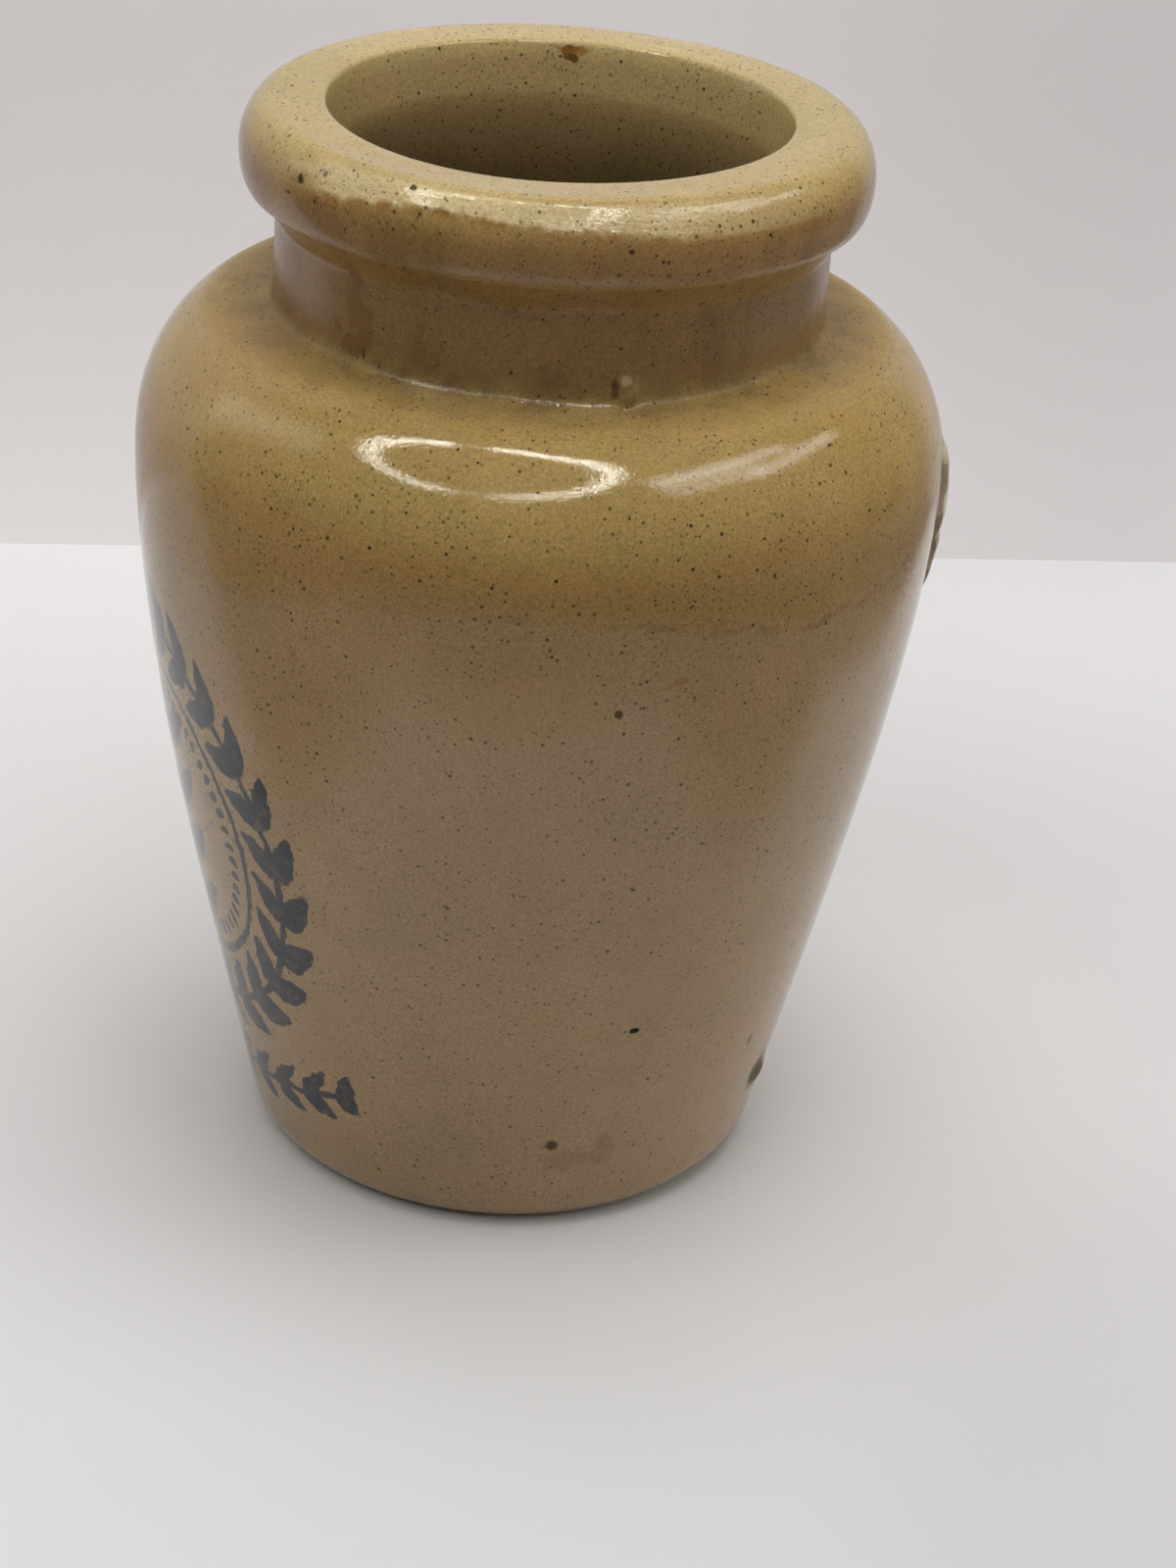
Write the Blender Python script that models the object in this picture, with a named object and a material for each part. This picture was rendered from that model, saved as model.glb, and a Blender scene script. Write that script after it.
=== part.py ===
# Small stoneware cream pot: a thrown body with a rolled rim, a straight short neck,
# a round shoulder and a wall that tapers to a flat foot, and a flake of clay that
# stuck to the shoulder in the kiln.
# Metres, +Z up, origin at the middle of the flat foot.

import math

import bmesh
import bpy

# Heights, stacked upward from the flat foot
FOOT_RISE = 0.0041          # height of the worn, rounded foot edge
WALL_RISE = 0.0680          # from the foot edge up to the widest girth
SHOULDER_RISE = 0.0128      # from the girth up to where the shoulder turns towards the neck
LEDGE_RISE = 0.00115        # flatter ledge that the shoulder keeps round the neck
NECK_FILLET_RISE = 0.00135  # tight hollow curve from the ledge into the neck
NECK_RISE = 0.0067          # straight stretch of the neck
COVE_RISE = 0.0032          # hollow under the rolled rim
ROLL_LOWER_RISE = 0.0030    # rolled rim, from its lower edge to its widest line
ROLL_UPPER_RISE = 0.0047    # rolled rim, from its widest line to its top

# Outer radii
STAND_RADIUS = 0.0225       # flat standing face
FOOT_RADIUS = 0.0258        # wall just above the foot edge
GIRTH_RADIUS = 0.0378       # widest line of the body
NECK_RADIUS = 0.0254
SHOULDER_REACH = 0.0065     # where the shoulder flattens into the ledge, out from the neck
LEDGE_REACH = 0.0015        # where the ledge turns up into the neck, out from the neck
COVE_REACH = 0.0027         # how far the hollow under the rim spreads from the neck
ROLL_REACH = 0.0034         # how far the rolled rim stands out from the neck
CREST_OUTER_REACH = 0.0001  # outer end of the rim's flat crest, out from the neck
CREST_WIDTH = 0.0021        # width of the flat crest

# Slopes of the outer wall, measured from upright
WALL_LEAN = math.radians(12.2)
SHOULDER_LEAN = math.radians(59.4)
LEDGE_LEAN = math.radians(82)

# Directions of travel where curves meet, measured from upright
FOOT_EDGE_LEAN = math.radians(67)
COVE_EDGE_LEAN = math.radians(54)
ROLL_EDGE_LEAN = math.radians(32)
LIP_LEAN = math.radians(15)

# How long each curve keeps its direction, as a share of its own rise
FOOT_EASE = 0.45
WALL_EASE = 0.26
SHOULDER_EASE = 0.60
SHOULDER_END_EASE = 0.19
FILLET_EASE = 0.46
COVE_EASE = 0.25
ROLL_EASE = 0.48
CREST_EASE = 0.60
LIP_EASE = 0.96
LIP_TOP_EASE = 0.46
CORNER_EASE = 0.50

# Hollow inside
WALL_THICKNESS = 0.0045
FLOOR_THICKNESS = 0.0060
MOUTH_RADIUS = 0.0198
LIP_DEPTH = 0.0052          # from the crest down to where the mouth is narrowest
INNER_CORNER = 0.0090       # curve between the floor and the wall inside
SHOULDER_THICKNESS = 0.0050

# Flake of clay stuck to the right of the shoulder
FLAKE_HEIGHT = 0.0166
FLAKE_WIDTH = 0.0105
FLAKE_THICKNESS = 0.0009
FLAKE_AZIMUTH = math.radians(2.0)
FLAKE_BELOW_GIRTH = 0.0038  # the flake's middle sits this far under the girth line
CLEARANCE = 0.0003          # gap kept between the flake and the body's wall

TURN_STEPS = 60             # straight facets round the pot
FLAKE_SPOKES = 24
FLAKE_RINGS = 3
FLAKE_EDGE_THINNING = 0.45  # share of the thickness lost at the broken edge


def curve_between(start, start_lean, start_pull, end, end_lean, end_pull, steps):
    """Points of a smooth curve in the profile plane, without its first point.

    A lean is the angle of travel from upright, positive outwards, and a pull is
    how strongly the curve keeps that direction.
    """
    first = (start[0] + math.sin(start_lean) * start_pull, start[1] + math.cos(start_lean) * start_pull)
    second = (end[0] - math.sin(end_lean) * end_pull, end[1] - math.cos(end_lean) * end_pull)
    points = []
    for step in range(1, steps + 1):
        t = step / steps
        s = 1.0 - t
        weights = (s ** 3, 3 * s * s * t, 3 * s * t * t, t ** 3)
        points.append(tuple(
            weights[0] * start[axis] + weights[1] * first[axis]
            + weights[2] * second[axis] + weights[3] * end[axis]
            for axis in (0, 1)))
    return points


def outer_profile():
    """Outside of the pot from the edge of the standing face up to the crest."""
    upright = 0.0
    outwards = math.radians(90)

    foot_top = FOOT_RISE
    girth_height = foot_top + WALL_RISE
    shoulder_height = girth_height + SHOULDER_RISE
    ledge_height = shoulder_height + LEDGE_RISE
    neck_foot = ledge_height + NECK_FILLET_RISE
    neck_top = neck_foot + NECK_RISE
    roll_foot = neck_top + COVE_RISE
    roll_height = roll_foot + ROLL_LOWER_RISE
    crest = roll_height + ROLL_UPPER_RISE

    stand = (STAND_RADIUS, 0.0)
    wall_foot = (FOOT_RADIUS, foot_top)
    girth = (GIRTH_RADIUS, girth_height)
    shoulder = (NECK_RADIUS + SHOULDER_REACH, shoulder_height)
    ledge = (NECK_RADIUS + LEDGE_REACH, ledge_height)
    neck_low = (NECK_RADIUS, neck_foot)
    neck_high = (NECK_RADIUS, neck_top)
    roll_edge = (NECK_RADIUS + COVE_REACH, roll_foot)
    roll_side = (NECK_RADIUS + ROLL_REACH, roll_height)
    crest_outer = (NECK_RADIUS + CREST_OUTER_REACH, crest)

    wall_pull = WALL_RISE * WALL_EASE
    shoulder_pull = SHOULDER_RISE * SHOULDER_EASE
    shoulder_end_pull = SHOULDER_RISE * SHOULDER_END_EASE
    ledge_pull = (SHOULDER_REACH - LEDGE_REACH) * FILLET_EASE
    fillet_pull = NECK_FILLET_RISE * FILLET_EASE
    foot_pull = FOOT_RISE * FOOT_EASE
    cove_pull = COVE_RISE * COVE_EASE
    roll_pull = ROLL_LOWER_RISE * ROLL_EASE
    edge_pull = COVE_REACH * ROLL_EASE / 2
    side_pull = ROLL_UPPER_RISE * CREST_EASE
    crest_pull = ROLL_REACH * ROLL_EASE

    points = [stand]
    points += curve_between(stand, FOOT_EDGE_LEAN, foot_pull, wall_foot, WALL_LEAN, foot_pull, 4)
    points += curve_between(wall_foot, WALL_LEAN, wall_pull, girth, upright, wall_pull, 8)
    points += curve_between(girth, upright, shoulder_pull, shoulder, -SHOULDER_LEAN, shoulder_end_pull, 7)
    points += curve_between(shoulder, -SHOULDER_LEAN, ledge_pull, ledge, -LEDGE_LEAN, ledge_pull, 4)
    points += curve_between(ledge, -LEDGE_LEAN, fillet_pull, neck_low, upright, fillet_pull, 3)
    points.append(neck_high)
    points += curve_between(neck_high, upright, cove_pull, roll_edge, COVE_EDGE_LEAN, cove_pull, 4)
    points += curve_between(roll_edge, ROLL_EDGE_LEAN, edge_pull, roll_side, upright, roll_pull, 4)
    points += curve_between(roll_side, upright, side_pull, crest_outer, -outwards, crest_pull, 6)
    return points


def inner_profile(crest):
    """Inside of the pot from the middle of the floor up to the crest."""
    upright = 0.0
    outwards = math.radians(90)

    girth_height = FOOT_RISE + WALL_RISE
    shoulder_height = girth_height + SHOULDER_RISE
    neck_foot = shoulder_height + LEDGE_RISE + NECK_FILLET_RISE

    # the inner shoulder lies square under the outer one
    drop = SHOULDER_THICKNESS * math.sin(SHOULDER_LEAN)
    inset = SHOULDER_THICKNESS * math.cos(SHOULDER_LEAN)
    corner_radius = FOOT_RADIUS + INNER_CORNER * math.tan(WALL_LEAN) - WALL_THICKNESS

    floor_edge = (corner_radius - INNER_CORNER, FLOOR_THICKNESS)
    wall_foot = (corner_radius, FLOOR_THICKNESS + INNER_CORNER)
    girth = (GIRTH_RADIUS - WALL_THICKNESS, girth_height - drop / 2)
    shoulder = (NECK_RADIUS + SHOULDER_REACH - inset, shoulder_height - drop)
    neck_low = (MOUTH_RADIUS, neck_foot - drop / 2)
    mouth = (MOUTH_RADIUS, crest - LIP_DEPTH)
    crest_inner = (NECK_RADIUS + CREST_OUTER_REACH - CREST_WIDTH, crest)

    corner_pull = INNER_CORNER * CORNER_EASE
    wall_pull = WALL_RISE * WALL_EASE
    shoulder_pull = (shoulder[1] - girth[1]) * SHOULDER_EASE
    fillet_pull = (neck_low[1] - shoulder[1]) * FILLET_EASE
    lip_pull = LIP_DEPTH * LIP_EASE
    lip_top_pull = LIP_DEPTH * LIP_TOP_EASE

    points = [(0.0, FLOOR_THICKNESS), floor_edge]
    points += curve_between(floor_edge, outwards, corner_pull, wall_foot, WALL_LEAN, corner_pull, 4)
    points += curve_between(wall_foot, WALL_LEAN, wall_pull, girth, upright, wall_pull, 6)
    points += curve_between(girth, upright, shoulder_pull, shoulder, -SHOULDER_LEAN, fillet_pull, 5)
    points += curve_between(shoulder, -SHOULDER_LEAN, fillet_pull, neck_low, upright, fillet_pull, 4)
    points.append(mouth)
    points += curve_between(mouth, LIP_LEAN, lip_pull, crest_inner, outwards, lip_top_pull, 6)
    return points


def wall_radius(outer, height):
    """Outer radius of the wall or shoulder at a height, read from the profile."""
    for low, high in zip(outer, outer[1:]):
        if low[1] <= height <= high[1]:
            share = (height - low[1]) / (high[1] - low[1])
            return low[0] + (high[0] - low[0]) * share
    return outer[-1][0]


def glazed_material(name, colour, roughness):
    material = bpy.data.materials.new(name)
    material.use_nodes = True
    shader = material.node_tree.nodes["Principled BSDF"]
    shader.inputs["Base Color"].default_value = (*colour, 1.0)
    shader.inputs["Roughness"].default_value = roughness
    shader.inputs["Metallic"].default_value = 0.0
    return material


def make_pot_body(outer):
    """The fired body: one profile turned about the axis, hollow and open at the mouth."""
    crest = outer[-1][1]
    profile = inner_profile(crest) + list(reversed(outer)) + [(0.0, 0.0)]

    mesh = bpy.data.meshes.new("pot_body")
    sketch = bmesh.new()
    corners = [sketch.verts.new((radius, 0.0, height)) for radius, height in profile]
    for first, second in zip(corners, corners[1:]):
        sketch.edges.new((first, second))
    sketch.to_mesh(mesh)
    sketch.free()

    body = bpy.data.objects.new("pot_body", mesh)
    bpy.context.scene.collection.objects.link(body)
    mesh.materials.append(glazed_material("salt_glazed_stoneware", (0.22, 0.15, 0.075), 0.25))

    turn = body.modifiers.new("turn", 'SCREW')
    turn.axis = 'Z'
    turn.angle = math.radians(360)
    turn.steps = TURN_STEPS
    turn.render_steps = TURN_STEPS
    turn.use_merge_vertices = True
    turn.merge_threshold = 0.00002
    turn.use_smooth_shade = True
    return body


def flake_outline(angle):
    """Share of the half size that the broken edge reaches at an angle, 0 to the side."""
    wander = 0.05 * math.sin(3 * angle + 0.6) + 0.04 * math.sin(5 * angle + 2.1)
    pointed_foot = 0.10 * max(0.0, -math.sin(angle)) ** 4
    return 0.90 + wander + pointed_foot


def make_kiln_scar_flake(outer):
    """A thin broken flake of clay that follows the wall at a small clearance."""
    middle_height = FOOT_RISE + WALL_RISE - FLAKE_BELOW_GIRTH
    girth = wall_radius(outer, middle_height)

    def placed(across, up, lift):
        height = middle_height + up
        azimuth = FLAKE_AZIMUTH + across / girth
        radius = wall_radius(outer, height) + CLEARANCE + lift
        return (radius * math.cos(azimuth), radius * math.sin(azimuth), height)

    mesh = bpy.data.meshes.new("kiln_scar_flake")
    sketch = bmesh.new()

    def layer(lift_at):
        rings = [[sketch.verts.new(placed(0.0, 0.0, lift_at(0.0)))]]
        for ring in range(1, FLAKE_RINGS + 1):
            share = ring / FLAKE_RINGS
            corners = []
            for spoke in range(FLAKE_SPOKES):
                angle = 2 * math.pi * spoke / FLAKE_SPOKES
                reach = flake_outline(angle) * share
                across = math.cos(angle) * reach * FLAKE_WIDTH / 2
                up = math.sin(angle) * reach * FLAKE_HEIGHT / 2
                corners.append(sketch.verts.new(placed(across, up, lift_at(share))))
            rings.append(corners)
        return rings

    face_rings = layer(lambda share: FLAKE_THICKNESS * (1.0 - FLAKE_EDGE_THINNING * share ** 4))
    back_rings = layer(lambda share: 0.0)
    for spoke in range(FLAKE_SPOKES):
        following = (spoke + 1) % FLAKE_SPOKES
        for rings, outward in ((face_rings, True), (back_rings, False)):
            fan = [rings[0][0], rings[1][spoke], rings[1][following]]
            sketch.faces.new(fan if outward else reversed(fan))
            for ring in range(1, FLAKE_RINGS):
                panel = [rings[ring][spoke], rings[ring + 1][spoke],
                         rings[ring + 1][following], rings[ring][following]]
                sketch.faces.new(panel if outward else reversed(panel))
        sketch.faces.new([back_rings[-1][spoke], back_rings[-1][following],
                          face_rings[-1][following], face_rings[-1][spoke]])
    bmesh.ops.recalc_face_normals(sketch, faces=sketch.faces)
    sketch.to_mesh(mesh)
    sketch.free()

    flake = bpy.data.objects.new("kiln_scar_flake", mesh)
    bpy.context.scene.collection.objects.link(flake)
    mesh.materials.append(glazed_material("bare_kiln_clay", (0.16, 0.13, 0.09), 0.8))
    mesh.shade_smooth()
    mesh.set_sharp_from_angle(angle=math.radians(35))
    return flake


def main():
    for item in list(bpy.data.objects):
        bpy.data.objects.remove(item, do_unlink=True)
    outer = outer_profile()
    make_pot_body(outer)
    make_kiln_scar_flake(outer)


main()
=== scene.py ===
import math

import bpy
from mathutils import Matrix, Vector, noise


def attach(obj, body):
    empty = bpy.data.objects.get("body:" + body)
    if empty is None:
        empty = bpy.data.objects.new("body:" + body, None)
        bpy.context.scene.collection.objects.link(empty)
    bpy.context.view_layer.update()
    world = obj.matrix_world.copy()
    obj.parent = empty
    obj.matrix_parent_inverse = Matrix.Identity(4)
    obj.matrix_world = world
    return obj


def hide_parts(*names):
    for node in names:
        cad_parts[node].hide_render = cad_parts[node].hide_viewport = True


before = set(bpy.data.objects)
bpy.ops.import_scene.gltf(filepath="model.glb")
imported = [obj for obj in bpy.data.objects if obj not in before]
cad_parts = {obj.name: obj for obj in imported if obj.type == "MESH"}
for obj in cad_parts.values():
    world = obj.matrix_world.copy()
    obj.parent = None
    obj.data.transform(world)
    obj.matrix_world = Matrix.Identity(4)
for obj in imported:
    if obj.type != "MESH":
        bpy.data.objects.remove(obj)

# A small stoneware cream pot: buff salt glaze, deeper ochre where the top was dipped,
# a printed leaf wreath on one side and a scab of kiln clay stuck to the shoulder.
# Metres throughout, heights from the table, azimuth 0 towards +X and -90 towards the viewer.

mm = 0.001
upright = 0.0
outwards = math.radians(90)
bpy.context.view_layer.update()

# Where the viewer stands
view = dict(
    distance=349.08 * mm,
    tilt=27.445,             # degrees the line of sight drops
    turn=-1.2634,
    lean=4.1365,             # the picture's own tilt
    aimHeight=36.306 * mm,
    lens=72.0,
    sensor=24.0,
)


def placeCamera():
    tilt = math.radians(view["tilt"])
    lean = math.radians(view["lean"])
    turn = Matrix.Rotation(math.radians(view["turn"]), 3, 'Z')
    forward = turn @ Vector((0, math.cos(tilt), -math.sin(tilt)))
    right = forward.cross(Vector((0, 0, 1))).normalized()
    up = right.cross(forward)
    leanRight = right * math.cos(lean) + up * math.sin(lean)
    leanUp = up * math.cos(lean) - right * math.sin(lean)
    lens = bpy.data.cameras.new("camera")
    lens.sensor_fit = 'HORIZONTAL'
    lens.sensor_width = view["sensor"]
    lens.lens = view["lens"]
    lens.clip_start = 0.01
    lens.clip_end = 20
    camera = bpy.data.objects.new("camera", lens)
    bpy.context.scene.collection.objects.link(camera)
    turned = Matrix((leanRight, leanUp, -forward)).transposed().to_4x4()
    drop = view["distance"] * math.sin(tilt)
    back = view["distance"] * math.cos(tilt)
    camera.matrix_world = Matrix.Translation((0, -back, view["aimHeight"] + drop)) @ turned
    bpy.context.scene.camera = camera


placeCamera()
print("camera placed")

# The turned vessel, from the flat foot up the outside, over the rim and down the inside
pot = dict(
    footRise=4.1 * mm, wallRise=68.0 * mm, shoulderRise=12.8 * mm, ledgeRise=1.00 * mm,
    filletRise=1.50 * mm, neckRise=6.7 * mm, coveRise=3.2 * mm, rollLower=3.0 * mm, rollUpper=4.7 * mm,
    stand=22.5 * mm, foot=25.8 * mm, girth=37.8 * mm, neck=25.4 * mm,
    shoulderReach=6.5 * mm, ledgeReach=1.5 * mm, coveReach=2.7 * mm, rollReach=3.4 * mm,
    crestReach=0.1 * mm, crestWidth=2.1 * mm,
    wallLean=12.2, shoulderLean=59.4, ledgeLean=82.0,      # degrees from upright
    footLean=67.0, coveLean=54.0, rollLean=32.0, lipLean=15.0, lipTopLean=82.0,
    wall=4.5 * mm, floor=6.0 * mm, mouth=19.8 * mm, lipDepth=5.2 * mm,
    lipCorner=1.2 * mm, lipCornerDrop=0.65 * mm,           # crisp inner corner of the lip
    lipRound=0.42 * mm, lipRoundDrop=0.13 * mm,
    corner=9.0 * mm, shoulderWall=5.0 * mm,
    aroundSteps=384,
    weld=0.005 * mm,         # joins the spun seam and the two poles
)

# How long the section's curves hold their lean, as a share of their rise or reach
hold = dict(
    foot=0.45, wall=0.26, girth=0.60, shoulder=0.19, ledge=0.46, fillet=0.80, cove=0.25,
    rollEdge=0.24, rollLower=0.48, rollUpper=0.60, crest=0.48, corner=0.50, inside=0.46,
    lipLow=0.30 * mm, lipHigh=0.25 * mm, lipTop=0.6 * mm,  # these three are lengths
)


def easeCurve(start, end, steps, startLean, startPull, endLean, endPull):
    # a lean is the way of travel measured from upright, a pull is how long it holds
    first = (start[0] + math.sin(startLean) * startPull, start[1] + math.cos(startLean) * startPull)
    second = (end[0] - math.sin(endLean) * endPull, end[1] - math.cos(endLean) * endPull)
    corners = (start, first, second, end)
    points = []
    for step in range(1, steps + 1):
        t = step / steps
        s = 1 - t
        weights = (s ** 3, 3 * s * s * t, 3 * s * t * t, t ** 3)
        points.append(tuple(sum(w * c[axis] for w, c in zip(weights, corners)) for axis in (0, 1)))
    return points


def straight(start, end, steps):
    return [(start[0] + (end[0] - start[0]) * k / steps, start[1] + (end[1] - start[1]) * k / steps)
            for k in range(1, steps + 1)]


def drawn(start, stretches):
    # each stretch has its end, its number of points and, if it curves, lean and pull at both ends
    points = []
    for end, steps, *bends in stretches:
        points += easeCurve(start, end, steps, *bends) if bends else straight(start, end, steps)
        start = end
    return points


heights = {}
risen = pot["footRise"]
for name, rise in (("girth", "wallRise"), ("shoulder", "shoulderRise"), ("ledge", "ledgeRise"),
                   ("neckFoot", "filletRise"), ("neckTop", "neckRise"), ("rollFoot", "coveRise"),
                   ("rollSide", "rollLower"), ("crest", "rollUpper")):
    risen += pot[rise]
    heights[name] = risen

lean = {name: math.radians(pot[name + "Lean"])
        for name in ("foot", "wall", "shoulder", "ledge", "cove", "roll", "lip", "lipTop")}


def outerSection():
    neck = pot["neck"]
    footPull = pot["footRise"] * hold["foot"]
    wallPull = pot["wallRise"] * hold["wall"]
    ledgePull = (pot["shoulderReach"] - pot["ledgeReach"]) * hold["ledge"]
    filletPull = pot["filletRise"] * hold["fillet"]
    covePull = pot["coveRise"] * hold["cove"]
    return drawn((0.0, 0.0), (
        ((pot["stand"], 0.0), 6),
        ((pot["foot"], pot["footRise"]), 10, lean["foot"], footPull, lean["wall"], footPull),
        ((pot["girth"], heights["girth"]), 58, lean["wall"], wallPull, upright, wallPull),
        ((neck + pot["shoulderReach"], heights["shoulder"]), 24, upright, pot["shoulderRise"] * hold["girth"],
         -lean["shoulder"], pot["shoulderRise"] * hold["shoulder"]),
        ((neck + pot["ledgeReach"], heights["ledge"]), 10,
         -lean["shoulder"], ledgePull, -lean["ledge"], ledgePull),
        ((neck, heights["neckFoot"]), 8, -lean["ledge"], filletPull, upright, filletPull),
        ((neck, heights["neckTop"]), 8),
        ((neck + pot["coveReach"], heights["rollFoot"]), 10, upright, covePull, lean["cove"], covePull),
        ((neck + pot["rollReach"], heights["rollSide"]), 10,
         lean["roll"], pot["coveReach"] * hold["rollEdge"], upright, pot["rollLower"] * hold["rollLower"]),
        ((neck + pot["crestReach"], heights["crest"]), 20, upright, pot["rollUpper"] * hold["rollUpper"],
         -outwards, pot["rollReach"] * hold["crest"])))


def innerSection():
    drop = pot["shoulderWall"] * math.sin(lean["shoulder"])
    inset = pot["shoulderWall"] * math.cos(lean["shoulder"])
    cornerRadius = pot["foot"] + pot["corner"] * math.tan(lean["wall"]) - pot["wall"]
    girthHeight = heights["girth"] - drop / 2
    shoulderHeight = heights["shoulder"] - drop
    neckHeight = heights["neckFoot"] - drop / 2
    lipRadius = pot["mouth"] + pot["lipCorner"]
    cornerPull = pot["corner"] * hold["corner"]
    wallPull = pot["wallRise"] * hold["wall"]
    filletPull = (neckHeight - shoulderHeight) * hold["inside"]
    middle = (0.0, pot["floor"])
    points = [middle] + drawn(middle, (
        ((cornerRadius - pot["corner"], pot["floor"]), 6),
        ((cornerRadius, pot["floor"] + pot["corner"]), 8, outwards, cornerPull, lean["wall"], cornerPull),
        ((pot["girth"] - pot["wall"], girthHeight), 16, lean["wall"], wallPull, upright, wallPull),
        ((pot["neck"] + pot["shoulderReach"] - inset, shoulderHeight), 8,
         upright, (shoulderHeight - girthHeight) * hold["girth"], -lean["shoulder"], filletPull),
        ((pot["mouth"], neckHeight), 8, -lean["shoulder"], filletPull, upright, filletPull),
        ((pot["mouth"], heights["crest"] - pot["lipDepth"]), 8),
        ((lipRadius, heights["crest"] - pot["lipCornerDrop"]), 8),
        ((lipRadius + pot["lipRound"], heights["crest"] - pot["lipRoundDrop"]), 6,
         lean["lip"], hold["lipLow"], lean["lipTop"], hold["lipHigh"]),
        ((pot["neck"] + pot["crestReach"] - pot["crestWidth"], heights["crest"]), 8,
         lean["lipTop"], hold["lipTop"], outwards, hold["lipTop"])))
    return list(reversed(points))


def soloEdit(piece):
    # only this piece selected, in edit mode
    if bpy.context.mode != 'OBJECT':
        bpy.ops.object.mode_set(mode='OBJECT')
    bpy.ops.object.select_all(action='DESELECT')
    piece.select_set(True)
    bpy.context.view_layer.objects.active = piece
    bpy.ops.object.mode_set(mode='EDIT')


def turnOutwards(piece):
    # every face looks out, and the piece leaves edit mode
    soloEdit(piece)
    bpy.ops.mesh.select_all(action='SELECT')
    bpy.ops.mesh.normals_make_consistent(inside=False)
    bpy.ops.object.mode_set(mode='OBJECT')


def turnVessel(section):
    # one section drawn point by point, then spun round the axis
    bpy.ops.object.select_all(action='DESELECT')
    bpy.ops.mesh.primitive_plane_add(size=pot["stand"], location=(0, 0, 0))
    vessel = bpy.context.active_object
    vessel.name = "pot_glazed"
    vessel.data.name = "pot_glazed"
    soloEdit(vessel)
    bpy.ops.mesh.select_all(action='SELECT')
    bpy.ops.mesh.merge(type='CENTER')
    radius, height = 0.0, 0.0
    for nextRadius, nextHeight in section:
        step = (nextRadius - radius, 0, nextHeight - height)
        bpy.ops.mesh.extrude_region_move(TRANSFORM_OT_translate={"value": step})
        radius, height = nextRadius, nextHeight
    bpy.ops.mesh.select_all(action='SELECT')
    bpy.ops.mesh.spin(steps=pot["aroundSteps"], angle=2 * math.pi, center=(0, 0, 0), axis=(0, 0, 1))
    bpy.ops.mesh.select_all(action='SELECT')
    bpy.ops.mesh.remove_doubles(threshold=pot["weld"])
    turnOutwards(vessel)
    bpy.ops.object.shade_smooth()
    return vessel


# Marks of the hand, the kiln and a long life, worked into the turned shape.
# Places round the pot are in degrees, as middle and half width or as start and end.
hand = dict(
    ovalness=0.10 * mm, ovalWaves=((0.8, 2, 0.7), (0.5, 3, 2.0)),      # how far from round
    throwing=0.028 * mm, throwingGrain=330.0,              # faint rings of the turning
    swell=0.030 * mm, swellGrain=95.0, swellAbove=1.0 * mm,            # slow waves of the glaze coat
    fullSide=0.36 * mm, fullRound=(180.0, 35.0), fullUp=(38 * mm, 24 * mm),    # fuller by the print
    outsideFrom=2.2 * mm,    # where the outside begins, out from the mouth
    dipInside=30.0,          # the inside counts as far above the dip's border
    axisFade=(1.0 * mm, 6.0 * mm),
    lipDip=0.42 * mm, lipRound=(-105.0, 60.0),             # how much lower the lip lies at the front
    lipOut=(24.5 * mm, 27.0 * mm), lipUp=(101.0 * mm, 104.5 * mm),
    crestWaver=0.05 * mm, crestGrain=160.0, crestUp=(103.0 * mm, 104.0 * mm),
    ledgeReach=3.0 * mm, ledgeDip=0.34 * mm, ledgeRound=(-72.0, 24.0), ledgeUp=(86.3 * mm, 1.5 * mm),
    neckBeads=0.07 * mm, beadGrains=((900.0, 1.0), (420.0, 0.7)),      # glaze beads round the neck's foot
    beadRound=(-97.0, 26.0), beadUp=(heights["ledge"] + 0.3 * mm, 0.5 * mm),
)

# The glaze flat on the front of the rim
rimFlat = dict(
    start=(-141.0, -131.0), thins=(-84.0, -40.0), thinShare=0.75, end=(-45.0, -25.0),
    lowest=0.5 * mm,         # begins this far under the roll
    top=104.6 * mm, topRadius=27.0 * mm, lowRadius=28.75 * mm, lowFrom=101.2 * mm, lowSlope=0.30,
    bulge=0.12 * mm,         # how far the flat still stands out between its edges
    fadeLow=(0.0, 0.12), fadeHigh=(0.86, 1.0),
    bead=0.07 * mm, beadWide=0.45 * mm,      # glaze gathered along the flat's lower edge
    ridge=101.5 * mm, ragged=0.30 * mm, raggedGrain=0.35,
    ridgeRuns=((1.4 * mm, -110, 17), (0.7 * mm, -82, 16)),
)

# Lower border of the ochre dip in mm: waves round it, and where it runs up or down
dipBorder = dict(
    height=68.4, waves=((0.45, 5, math.radians(20)), (0.30, 9, 0.0)),
    runs=((3.9, -95, 24), (-1.8, -141, 13), (1.7, -25, 13)),
)

# Small marks: height, azimuth, half width, half height, then how far the surface moves, in mm
marks = dict(
    blister=(87.3, -73.6, 0.85, 1.30, 0.95),
    footChip=(11.0, -78.8, 0.75, 0.65, -0.16),
    pit=(25.0, -66.2, 0.50, 0.36, -0.10),
    ovalDrip=(10.6, -21.0, 1.10, 2.0, 0.50),
    brownNick=(17.8, -33.7, 0.5, 0.9, -0.10),
)
markReach = 3.0
markEdge = 1.3               # higher is a flatter mark with a steeper edge


def hill(value, middle, width):
    return math.exp(-((value - middle) / width) ** 2)


def fade(value, low, high):
    t = min(1.0, max(0.0, (value - low) / (high - low)))
    return t * t * (3 - 2 * t)


def hills(azimuth, runs):
    return sum(size * hill(azimuth, middle, width) for size, middle, width in runs)


def waves(angle, parts):
    return sum(size * math.sin(turns * angle + shift) for size, turns, shift in parts)


def dipHeight(azimuth):
    wave = waves(math.radians(azimuth), dipBorder["waves"])
    return dipBorder["height"] + hills(azimuth, dipBorder["runs"]) + wave


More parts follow.
